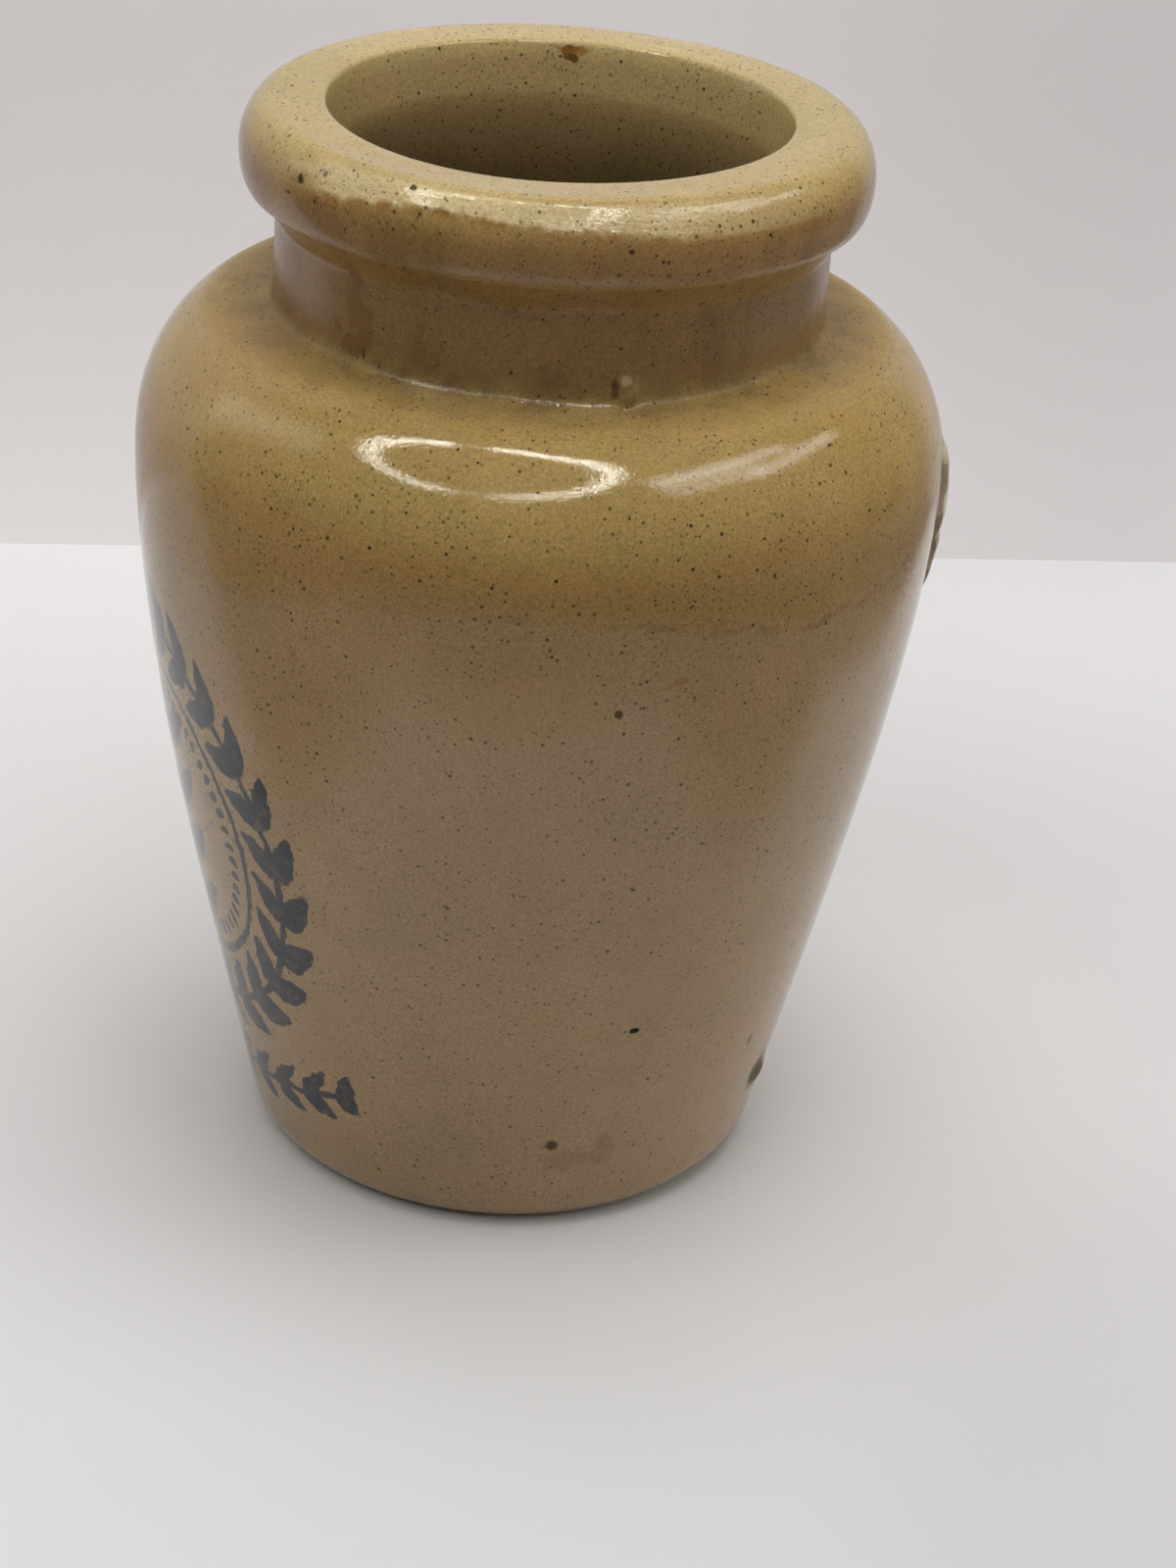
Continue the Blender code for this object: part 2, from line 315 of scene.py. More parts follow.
def ridgeHeight(azimuth):
    # lower edge of the glaze flat on the rim
    ragged = noise.noise(Vector((azimuth * rimFlat["raggedGrain"], 3.1, 0.0))) * rimFlat["ragged"]
    return rimFlat["ridge"] + hills(azimuth, rimFlat["ridgeRuns"]) + ragged


def pressFlat(radius, height, azimuth):
    # how far the rim moves in, and the masks of the flat and of its lower edge
    ridge = ridgeHeight(azimuth)
    share = fade(azimuth, *rimFlat["start"]) * (1 - fade(azimuth, *rimFlat["end"]))
    share *= 1 - fade(azimuth, *rimFlat["thins"]) * rimFlat["thinShare"]
    lowRadius = rimFlat["lowRadius"] - max(0.0, ridge - rimFlat["lowFrom"]) * rimFlat["lowSlope"]
    moved = 0.0
    flat = 0.0
    if ridge < height < rimFlat["top"]:
        along = (height - ridge) / (rimFlat["top"] - ridge)
        chord = lowRadius + (rimFlat["topRadius"] - lowRadius) * along
        chord += rimFlat["bulge"] * 4 * along * (1 - along)
        moved = min(0.0, chord - radius) * share
        flat = share * fade(along, *rimFlat["fadeLow"]) * (1 - fade(along, *rimFlat["fadeHigh"]))
    edge = share * hill(height, ridge, rimFlat["beadWide"])
    return moved + edge * rimFlat["bead"], flat, edge


def workedSpot(place, radius, azimuth):
    # where a point of the turned shape ends up, and its masks for the glaze
    height = place.z
    outside = radius > pot["mouth"] + hand["outsideFrom"] or height < pot["floor"] / 2
    angle = math.radians(azimuth)
    moved = hand["ovalness"] * waves(angle, hand["ovalWaves"])
    if height > hand["swellAbove"]:
        ringPlace = Vector((math.cos(angle), math.sin(angle), height * hand["throwingGrain"]))
        moved += hand["throwing"] * noise.noise(ringPlace)
        moved += hand["swell"] * noise.noise(place * hand["swellGrain"])
    if outside:
        moved += hand["fullSide"] * hill(abs(azimuth), *hand["fullRound"]) * hill(height, *hand["fullUp"])
    lift = 0.0
    flat = 0.0
    edge = 0.0
    if outside and height > heights["rollFoot"] - rimFlat["lowest"]:
        pressed, flat, edge = pressFlat(radius, height, azimuth)
        moved += pressed
        lift = hand["crestWaver"] * noise.noise(place * hand["crestGrain"]) * fade(height, *hand["crestUp"])
    share = hill(azimuth, *hand["lipRound"]) * (1 - fade(radius, *hand["lipOut"]))
    lift -= hand["lipDip"] * share * fade(height, *hand["lipUp"])
    if abs(height - heights["ledge"]) < hand["ledgeReach"] and outside:
        lift -= hand["ledgeDip"] * hill(azimuth, *hand["ledgeRound"]) * hill(height, *hand["ledgeUp"])
        beads = sum(size * noise.noise(place * grain) for grain, size in hand["beadGrains"])
        moved += hand["neckBeads"] * hill(azimuth, *hand["beadRound"]) * hill(height, *hand["beadUp"]) * beads
    return moved, lift, flat, edge, outside


def workVessel(vessel):
    mesh = vessel.data
    masks = {"dip": [], "rimFlat": [], "rimEdge": [], "hollow": []}
    for corner in mesh.vertices:
        place = corner.co.copy()
        radius = max(math.hypot(place.x, place.y), 0.01 * mm)
        height = place.z
        azimuth = math.degrees(math.atan2(place.y, place.x))
        moved, lift, flat, edge, outside = workedSpot(place, radius, azimuth)
        if outside:
            for markHeight, markAzimuth, halfWide, halfHigh, push in marks.values():
                across = math.radians(azimuth - markAzimuth) * radius / mm / halfWide
                up = (height / mm - markHeight) / halfHigh
                reach = across * across + up * up
                if reach < markReach ** 2:
                    moved += push * mm * math.exp(-reach ** markEdge)
        masks["dip"].append(height / mm - dipHeight(azimuth) if outside else hand["dipInside"])
        masks["rimFlat"].append(flat)
        masks["rimEdge"].append(edge)
        masks["hollow"].append(0.0 if outside else 1.0)
        grow = 1 + moved / radius * fade(radius, *hand["axisFade"])
        corner.co = (place.x * grow, place.y * grow, height + lift)
    for name, values in masks.items():
        mesh.attributes.new(name, 'FLOAT', 'POINT')
        mesh.attributes[name].data.foreach_set("value", values)
    mesh.update()


vessel = turnVessel(outerSection() + innerSection())
workVessel(vessel)
print("vessel turned", len(vessel.data.polygons), "faces")
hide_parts("pot_body")
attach(vessel, "root")


# Scab of kiln clay stuck to the right of the shoulder
scab = dict(
    azimuth=2.0, middle=67.7 * mm, width=10.5 * mm, height=17.8 * mm,
    proud=0.92 * mm, sunk=0.10 * mm, columns=30, rows=44,
    edge=0.92, edgeWaves=((0.05, 3, 0.6), (0.04, 5, 2.1)),      # the broken outline
    edgeChips=0.035, chipGrain=4.0, pointedFoot=0.10,
    roundUp=2.4, roundSide=0.30, halfLayer=0.55,
    breaks=((420.0, 0.16 * mm), (1300.0, 0.07 * mm)), breakShare=(0.4, 0.6),   # the broken face
    notch=0.30 * mm, notchUp=(66.5 * mm, 0.55 * mm), notchSide=(1.0 * mm, 4.0 * mm),
    split=0.22 * mm, splitAt=68.9 * mm, splitSlant=0.25, splitWide=0.16 * mm,
    crease=38.0,
)


def outlineReach(angle):
    # share of the half size that the broken edge reaches
    grain = scab["chipGrain"]
    chips = scab["edgeChips"] * noise.noise(Vector((math.cos(angle) * grain, math.sin(angle) * grain, 7.0)))
    pointedFoot = scab["pointedFoot"] * max(0.0, -math.sin(angle)) ** 4
    return scab["edge"] + waves(angle, scab["edgeWaves"]) + chips + pointedFoot


def wallRadius(section, height):
    for low, high in zip(section, section[1:]):
        if low[1] <= height <= high[1] and high[1] > low[1]:
            return low[0] + (high[0] - low[0]) * (height - low[1]) / (high[1] - low[1])
    return section[-1][0]


def brokenFace(side, height, up, span):
    # how proud the broken clay stands of the wall
    spot = Vector((side, height, 0.0))
    broken = sum(size * noise.noise(spot * grain) for grain, size in scab["breaks"])
    least, more = scab["breakShare"]
    crest = scab["proud"] * (1 - abs(up) ** scab["roundUp"]) ** 0.5 * (1 - scab["roundSide"] * span ** 6)
    crest += broken * (least + more * span)
    crest -= scab["notch"] * hill(height, *scab["notchUp"]) * fade(-side, *scab["notchSide"])
    splitHeight = scab["splitAt"] + side * scab["splitSlant"]
    return crest - scab["split"] * hill(height, splitHeight, scab["splitWide"])


def shapeScab(section):
    bpy.ops.object.select_all(action='DESELECT')
    bpy.ops.mesh.primitive_grid_add(x_subdivisions=scab["columns"], y_subdivisions=scab["rows"],
                                    size=2, location=(0, 0, 0))
    piece = bpy.context.active_object
    piece.name = "kiln_scab"
    piece.data.name = "kiln_scab"
    soloEdit(piece)
    bpy.ops.mesh.select_all(action='SELECT')
    bpy.ops.mesh.extrude_region_move(TRANSFORM_OT_translate={"value": (0, 0, 1)})
    bpy.ops.mesh.select_all(action='SELECT')
    bpy.ops.mesh.normals_make_consistent(inside=False)
    bpy.ops.mesh.subdivide(number_cuts=1)
    bpy.ops.object.mode_set(mode='OBJECT')
    for corner in piece.data.vertices:
        u, v, layer = corner.co
        # square to disc, then out to the broken edge
        across = u * math.sqrt(1 - v * v / 2)
        up = v * math.sqrt(1 - u * u / 2)
        reach = outlineReach(math.atan2(up, across))
        side = across * reach * scab["width"] / 2
        height = scab["middle"] + up * reach * scab["height"] / 2
        lift = -scab["sunk"]
        if layer > 0.25:
            crest = brokenFace(side, height, up, min(1.0, math.hypot(across, up)))
            lift = crest if layer > 0.75 else crest * scab["halfLayer"]
        radius = wallRadius(section, height) + max(lift, -scab["sunk"])
        angle = math.radians(scab["azimuth"]) + side / wallRadius(section, height)
        corner.co = (radius * math.cos(angle), radius * math.sin(angle), height)
    turnOutwards(piece)
    bpy.ops.object.shade_smooth_by_angle(angle=math.radians(scab["crease"]))
    return piece


kilnScab = shapeScab(outerSection())
print("kiln scab shaped", len(kilnScab.data.polygons), "faces")
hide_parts("kiln_scar_flake")
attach(kilnScab, "root")


# Node helpers: a socket is linked, anything else is set
def addNode(tree, kind, settings=None, sockets=None):
    node = tree.nodes.new(kind)
    for name, value in (settings or {}).items():
        setattr(node, name, value)
    for name, value in (sockets or {}).items():
        if isinstance(value, bpy.types.NodeSocket):
            tree.links.new(value, node.inputs[name])
        else:
            node.inputs[name].default_value = value
    return node


def placeGroup(tree, group, sockets):
    return addNode(tree, 'ShaderNodeGroup', {"node_tree": group}, sockets).outputs[0]


def calc(tree, operation, *values):
    return addNode(tree, 'ShaderNodeMath', {"operation": operation}, dict(enumerate(values))).outputs[0]


def times(tree, first, *others):
    for value in others:
        first = calc(tree, 'MULTIPLY', first, value)
    return first


def addShare(tree, mask, share, base):
    return calc(tree, 'MULTIPLY_ADD', mask, share, base)


def without(tree, mask):
    return calc(tree, 'SUBTRACT', 1.0, mask)


def vectorCalc(tree, operation, *values):
    node = addNode(tree, 'ShaderNodeVectorMath', {"operation": operation}, dict(enumerate(values)))
    return node.outputs["Value" if operation in ('LENGTH', 'DOT_PRODUCT') else "Vector"]


def scaled(tree, vector, factor):
    node = addNode(tree, 'ShaderNodeVectorMath', {"operation": 'SCALE'}, {0: vector, "Scale": factor})
    return node.outputs["Vector"]


def fromAxis(tree, vector):
    return vectorCalc(tree, 'LENGTH', vectorCalc(tree, 'MULTIPLY', vector, (1.0, 1.0, 0.0)))


def ramp(tree, value, low, high, toLow=0.0, toHigh=1.0):
    node = addNode(tree, 'ShaderNodeMapRange', {"interpolation_type": 'SMOOTHSTEP'},
                   {"Value": value, "From Min": low, "From Max": high, "To Min": toLow, "To Max": toHigh})
    return node.outputs["Result"]


def cloud(tree, place, perMetre, detail=2.0, rough=0.5, stretch=None):
    if stretch:
        place = vectorCalc(tree, 'MULTIPLY', place, stretch)
    node = addNode(tree, 'ShaderNodeTexNoise', None,
                   {"Vector": place, "Scale": perMetre, "Detail": detail, "Roughness": rough})
    return node.outputs["Factor"] if "Factor" in node.outputs else node.outputs["Fac"]


def tint(tree, amount, first, second, mode='MIX'):
    node = addNode(tree, 'ShaderNodeMix', {"data_type": 'RGBA', "blend_type": mode},
                   {0: amount, 6: first, 7: second})
    return node.outputs[2]


def greyed(tree, colour, tone):
    # the same colour, lighter or darker
    grey = addNode(tree, 'ShaderNodeCombineColor', None, {0: tone, 1: tone, 2: tone}).outputs[0]
    return tint(tree, 1.0, colour, grey, 'MULTIPLY')


def asColour(values):
    return (*values, 1.0)


def ownPlace(tree):
    place = addNode(tree, 'ShaderNodeTexCoord').outputs["Object"]
    return place, addNode(tree, 'ShaderNodeSeparateXYZ', None, {0: place}).outputs


def newMaterial(name, rough=0.5, sheen=0.5):
    material = bpy.data.materials.new(name)
    material.use_nodes = True
    shader = material.node_tree.nodes["Principled BSDF"]
    shader.inputs["Roughness"].default_value = rough
    shader.inputs["Specular IOR Level"].default_value = sheen
    return material, material.node_tree, shader


def newGroup(name, inputs):
    # a group of nodes that gives one mask, from vectors and numbers
    group = bpy.data.node_groups.new(name, 'ShaderNodeTree')
    for label, value in inputs.items():
        kind = 'NodeSocketVector' if value is None else 'NodeSocketFloat'
        socket = group.interface.new_socket(name=label, in_out='INPUT', socket_type=kind)
        if value is not None:
            socket.default_value = value
    group.interface.new_socket(name="Mask", in_out='OUTPUT', socket_type='NodeSocketFloat')
    return group, group.nodes.new('NodeGroupInput').outputs


def giveMask(group, mask):
    group.links.new(mask, group.nodes.new('NodeGroupOutput').inputs["Mask"])
    return group


# Soft edges of the drawn masks, as shares of their half size
edges = dict(speck=(0.55, 1.05), hairline=(0.3, 1.0), leaf=(0.85, 1.15), line=(0.7, 1.4))


def ironSpecks():
    # iron grains in the clay that burn through the glaze, each with its own size and depth
    group, given = newGroup("iron specks", {"Place": None, "Per Metre": 800.0, "Reach": 0.1, "Share": 0.5})
    cells = addNode(group, 'ShaderNodeTexVoronoi', {"feature": 'F1'},
                    {"Vector": given["Place"], "Scale": given["Per Metre"]})
    chance = addNode(group, 'ShaderNodeSeparateColor', None, {"Color": cells.outputs["Color"]}).outputs
    smallest = 0.45
    reach = times(group, given["Reach"], calc(group, 'ADD', chance[1], smallest))
    inside = ramp(group, calc(group, 'DIVIDE', cells.outputs["Distance"], reach), *edges["speck"], 1.0, 0.0)
    chosen = calc(group, 'LESS_THAN', chance[0], given["Share"])
    return giveMask(group, times(group, inside, chosen, addShare(group, chance[2], 0.5, 0.5)))


def spotMask():
    # one ragged spot of a set size
    group, given = newGroup("ragged spot", {
        "Place": None, "Centre": None, "Half Wide": 0.001, "Half High": 0.001,
        "Ragged": 0.3, "Per Metre": 1500.0, "Soft": 0.3})
    offset = vectorCalc(group, 'SUBTRACT', given["Place"], given["Centre"])
    size = addNode(group, 'ShaderNodeCombineXYZ', None,
                   {0: given["Half Wide"], 1: given["Half Wide"], 2: given["Half High"]}).outputs[0]
    reach = vectorCalc(group, 'LENGTH', vectorCalc(group, 'DIVIDE', offset, size))
    grain = calc(group, 'SUBTRACT', cloud(group, given["Place"], given["Per Metre"]), 0.5)
    farthest = 4.0           # how far a fully ragged edge strays
    reach = addShare(group, grain, times(group, given["Ragged"], farthest), reach)
    mask = ramp(group, reach, without(group, given["Soft"]), calc(group, 'ADD', 1.0, given["Soft"]), 1.0, 0.0)
    return giveMask(group, mask)


def hairline():
    # a thin wandering crack or scratch between two points
    group, given = newGroup("hairline", {
        "Place": None, "From": None, "To": None, "Width": 0.0001, "Wander": 0.001})
    wander = addNode(group, 'ShaderNodeTexNoise', None,
                     {"Vector": given["Place"], "Scale": 700.0, "Detail": 3.0})
    shift = vectorCalc(group, 'SUBTRACT', wander.outputs["Color"], (0.5, 0.5, 0.5))
    place = vectorCalc(group, 'ADD', given["Place"], scaled(group, shift, given["Wander"]))
    fromStart = vectorCalc(group, 'SUBTRACT', place, given["From"])
    run = vectorCalc(group, 'SUBTRACT', given["To"], given["From"])
    share = calc(group, 'DIVIDE', vectorCalc(group, 'DOT_PRODUCT', fromStart, run),
                 vectorCalc(group, 'DOT_PRODUCT', run, run))
    share = calc(group, 'MAXIMUM', calc(group, 'MINIMUM', share, 1.0), 0.0)
    gap = vectorCalc(group, 'LENGTH', vectorCalc(group, 'SUBTRACT', fromStart, scaled(group, run, share)))
    gap = calc(group, 'DIVIDE', gap, given["Width"])
    return giveMask(group, ramp(group, gap, *edges["hairline"], 1.0, 0.0))


def leafRow():
    # paired leaves along a line, all lengths in mm
    group, given = newGroup("leaf row", {
        "Along": 0.0, "Across": 0.0, "Pitch": 5.0, "Length": 5.0, "Width": 2.0, "Lean": 0.7})
    turns = calc(group, 'FRACT', calc(group, 'DIVIDE', given["Along"], given["Pitch"]))
    u = times(group, calc(group, 'SUBTRACT', turns, 0.5), given["Pitch"])
    sine = calc(group, 'SINE', given["Lean"])
    cosine = calc(group, 'COSINE', given["Lean"])
    half = times(group, given["Length"], 0.5)
    v = calc(group, 'SUBTRACT', calc(group, 'ABSOLUTE', given["Across"]), times(group, half, sine))
    lengthwise = calc(group, 'ADD', times(group, u, cosine), times(group, v, sine))
    lengthwise = calc(group, 'DIVIDE', lengthwise, half)
    taper = -0.18            # a leaf is broader near its stalk
    breadth = times(group, given["Width"], addShare(group, lengthwise, taper, 0.5))
    sidewise = calc(group, 'SUBTRACT', times(group, v, cosine), times(group, u, sine))
    sidewise = calc(group, 'DIVIDE', sidewise, breadth)
    pointed = 1.6            # 2 is an oval, lower is sharper
    reach = calc(group, 'ADD', calc(group, 'POWER', calc(group, 'ABSOLUTE', lengthwise), pointed),
                 times(group, sidewise, sidewise))
    return giveMask(group, ramp(group, reach, *edges["leaf"], 1.0, 0.0))


groups = dict(specks=ironSpecks(), spot=spotMask(), crack=hairline(), leaves=leafRow())
print("shader groups built")


def onPot(radius, height, azimuth):
    # a point from radius and height in mm and azimuth in degrees
    angle = math.radians(azimuth)
    return (radius * mm * math.cos(angle), radius * mm * math.sin(angle), height * mm)


# The printed wreath, in mm round the wall and up it from its middle.
# A row of leaves has its pitch, then a leaf's length, width and lean.
wreath = dict(
    azimuth=-163.0, middle=37.0, halfWide=18.5, halfHigh=20.0, leaves=24,
    leafLength=5.6, leafWidth=2.7, leafLean=0.72, lineInside=4.9, lineWidth=0.42, innerLine=0.8,
    dotsInside=2.2, dots=(1.5, 1.5, 0.0),    # dots between the leaves and the inner line
    sprig=(6.2, 7.4, 2.9, 0.82), sprigLine=0.45, sprigHigh=12.5,
    garland=(4.6, 4.6, 2.0, 0.6), garlandLine=0.40, garlandDrop=27.8, garlandCurl=0.010, garlandHalf=21.0,
    endFade=0.4,
    shaky=0.55, shakyGrain=900.0, shakyDetail=3.0,         # how far the inked edges wander
    farShift=(0.3, 0.1, 0.2),
    onlyFront=4.0 * mm,      # the print doesn't come through on the far side of the axis
    ink=(0.010, 0.013, 0.022),
)


def wreathMask(tree, place):
    turned = addNode(tree, 'ShaderNodeVectorRotate', {"rotation_type": 'Z_AXIS'},
                     {"Vector": place, "Angle": -math.radians(wreath["azimuth"])}).outputs[0]
    parts = addNode(tree, 'ShaderNodeSeparateXYZ', None, {0: turned}).outputs

    def leaves(along, across, pitch, length, width, leafLean):
        return placeGroup(tree, groups["leaves"], {"Along": along, "Across": across, "Pitch": pitch,
                                                   "Length": length, "Width": width, "Lean": leafLean})

    def line(distance, halfWidth):
        low, high = edges["line"]
        return ramp(tree, calc(tree, 'ABSOLUTE', distance), halfWidth * low, halfWidth * high, 1.0, 0.0)

    def within(value, limit):
        return ramp(tree, calc(tree, 'ABSOLUTE', value), limit, limit + wreath["endFade"], 1.0, 0.0)

    def shaken(value, where):
        wander = cloud(tree, where, wreath["shakyGrain"], wreath["shakyDetail"])
        return addShare(tree, calc(tree, 'SUBTRACT', wander, 0.5), 2 * wreath["shaky"], value)

    side = times(tree, calc(tree, 'ARCTAN2', parts[1], parts[0]), fromAxis(tree, turned), 1 / mm)
    s = shaken(side, place)
    t = shaken(addShare(tree, parts[2], 1 / mm, -wreath["middle"]),
               vectorCalc(tree, 'ADD', place, wreath["farShift"]))
    # oval coordinates
    ovalS = calc(tree, 'DIVIDE', s, wreath["halfWide"])
    ovalT = calc(tree, 'DIVIDE', t, wreath["halfHigh"])
    oval = calc(tree, 'SQRT', calc(tree, 'ADD', times(tree, ovalS, ovalS), times(tree, ovalT, ovalT)))
    meanRadius = (wreath["halfWide"] + wreath["halfHigh"]) / 2
    along = times(tree, calc(tree, 'ARCTAN2', ovalT, ovalS), meanRadius)
    across = times(tree, calc(tree, 'SUBTRACT', oval, 1.0), meanRadius)
    pitch = 2 * math.pi * meanRadius / wreath["leaves"]
    sprig = calc(tree, 'MAXIMUM', leaves(t, s, *wreath["sprig"]), line(s, wreath["sprigLine"]))
    hang = calc(tree, 'ADD', t, wreath["garlandDrop"])
    hang = calc(tree, 'SUBTRACT', hang, times(tree, s, s, wreath["garlandCurl"]))
    garland = calc(tree, 'MAXIMUM', leaves(s, hang, *wreath["garland"]), line(hang, wreath["garlandLine"]))
    innerLine = calc(tree, 'ADD', across, wreath["lineInside"])
    dotLine = calc(tree, 'ADD', across, wreath["lineInside"] + wreath["dotsInside"])
    mask = leaves(along, across, pitch, wreath["leafLength"], wreath["leafWidth"], wreath["leafLean"])
    for shape in (line(across, wreath["lineWidth"]),
                  line(innerLine, wreath["lineWidth"] * wreath["innerLine"]),
                  leaves(along, dotLine, pitch / 2, *wreath["dots"]),
                  times(tree, sprig, within(t, wreath["sprigHigh"])),
                  times(tree, garland, within(s, wreath["garlandHalf"]))):
        mask = calc(tree, 'MAXIMUM', mask, shape)
    return times(tree, mask, ramp(tree, parts[0], 0.0, wreath["onlyFront"]))


# Glaze colours, linear
glaze = dict(
    buff=(0.310, 0.204, 0.092), ochre=(0.385, 0.262, 0.085), brown=(0.310, 0.186, 0.062),
    border=(0.265, 0.145, 0.042), tide=(0.130, 0.075, 0.028), warm=(0.46, 0.25, 0.12),
    # the neck: a browner glaze that is partly painted shade under the rim's overhang, painted shade in the
    # angle at its foot, and glaze runs
    neck=(0.205, 0.112, 0.038), dust=(0.110, 0.085, 0.055), run=(0.150, 0.072, 0.020),
    # the rim: the crest's paler glaze, a painted highlight along the crest at the back, and a painted glare
    # on the front flat
    rimPale=(0.440, 0.336, 0.130), crestBackHighlight=(0.600, 0.470, 0.200), flatGlare=(0.620, 0.500, 0.260),
    # the inside: its glaze, darkened deep down by painted shade; then the torn glaze on the flat's edge
    hollow=(0.345, 0.250, 0.104), deepShade=(0.100, 0.068, 0.024), broken=(0.270, 0.135, 0.028),
    speck=(0.018, 0.012, 0.007), crack=(0.06, 0.035, 0.015), bareFoot=(0.330, 0.260, 0.170),
)

# How much a colour covers of what lies under it, where that isn't all
cover = dict(border=0.25, warm=0.16, neck=0.85, rimPale=0.75, flatGlare=0.80, crestBackHighlight=0.50)

# The border between the two glazes, in mm from its middle
dipLine = dict(
    waver=3.2, riseWaver=4.0 * mm,           # how far the border and the heights wander
    fade=(-1.3, 1.6), brown=1.6, brownNarrow=0.42,
    tide=-0.4, tideFade=(0.15, 0.60, 1.0, 0.0),
)

# Drifts of tone: per metre, detail and roughness, then from, to and the values there
drifts = dict(
    uneven=(260.0, 3.0, 0.6), gloss=(420.0, 3.0, 0.6),
    tide=(190.0, 4.0, 0.6, 0.40, 0.62), torn=(520.0, 4.0, 0.65, 0.42, 0.60),
    # patches of the painted shade in the angle at the neck's foot, and of the runs down the neck
    dust=(330.0, 4.0, 0.65, 0.40, 0.65, 0.0, 0.38), runs=(210.0, 3.0, 0.6, 0.46, 0.62, 0.0, 0.40),
    drift=(55.0, 3.0, 0.55, 0.30, 0.70, 0.95, 1.05), patches=(210.0, 3.0, 0.6, 0.30, 0.70, 0.97, 1.03),
    grain=(3300.0, 3.0, 0.75, 0.25, 0.75, 0.74, 1.26), warm=(34.0, 2.0, 0.5, 0.40, 0.66),
    clusters=(120.0, 2.0, 0.5, 0.34, 0.64, 0.30, 1.0), ink=(700.0, 3.0, 0.6, 0.25, 0.60, 0.80, 1.0),
)

# Where one thing passes into the next, in mm, then the values there
stretches = dict(
    bare=(0.1, 0.5, 1.0, 0.0), iron=(20.0, 90.0, 0.60, 1.0), shoulder=(72.0, 81.0), deep=(91.0, 103.0),
    neckUp=(84.9, 88.6), neckDown=(100.0, 103.6, 1.0, 0.0), crest=(102.6, 104.7), back=(4.0, 22.0),
    tideSide=(-4.0, 24.0, 0.15, 0.50),
    # the painted shade in the angle at the neck's foot: out from the axis, and up
    creaseShadeOut=(26.2, 28.6, 1.0, 0.0), creaseShadeTop=(86.6, 88.6, 1.0, 0.0), creaseShadeFoot=(83.0, 84.0),
    hazeUp=(85.9, 86.6), haze=(88.0, 98.0, 0.20, 0.10), hazeDown=(98.0, 100.0, 1.0, 0.0),
    frontLeft=(-16.0, -12.0), frontRight=(7.0, 11.0, 1.0, 0.0), frontBack=(-6.0, 0.0, 1.0, 0.0),
    footUp=(84.2, 85.4), footDown=(86.4, 87.6, 1.0, 0.0),
    beadsUp=(85.6, 86.2), beadsDown=(86.9, 87.9, 1.0, 0.0),
)

# Iron grains: per metre, reach, share and strength of each layer, and two speckled places on the rim
iron = dict(
    fine=((3300.0, 0.190, 0.90, 0.50), (1800.0, 0.200, 1.05, 0.80), (1150.0, 0.180, 1.35, 0.92)),
    onRim=(760.0, 0.200, 0.65, 0.95), largest=(480.0, 0.080, 0.50, 0.95),
    rimPlaces=((28.5, 100.3, -62.0), (28.0, 101.5, -150.0)), rimMore=0.80,
    rimSpot={"Half Wide": 8.0 * mm, "Half High": 3.0 * mm, "Ragged": 0.5, "Per Metre": 300.0, "Soft": 0.5},
)

# What each thing adds to the roughness, and takes off the sheen
gloss = dict(
    rough=0.035, roughDrift=0.08, spot=0.35, bare=0.55, neckFoot=0.30, rimFlat=0.07,
    sheen=0.5, spotSheen=-0.85, footSheen=-0.65, bend=1.5,
)

# Relief: per metre, detail, roughness, then the height in metres
relief = dict(
    peel=(800.0, 2.0, 0.5, 0.000012), tooth=(3000.0, 2.0, 0.6, 0.000012),
    sparkle=(6000.0, 1.0, 0.5, 0.000002), beads=(2600.0, 2.0, 0.5, 0.00006),
    wrinkle=(2000.0, 3.0, 0.6, 0.00008), clay=(1700.0, 4.0, 0.65, 0.00012),
)
spotDepth = 0.03 * mm
spotGrain = 900.0            # per metre, for a spot 1 mm in half width
spotSoft = 0.30
bareWaver = 0.8 * mm
drawnDown = (1.0, 1.0, 0.25)
drawnRound = (0.25, 0.25, 1.0)

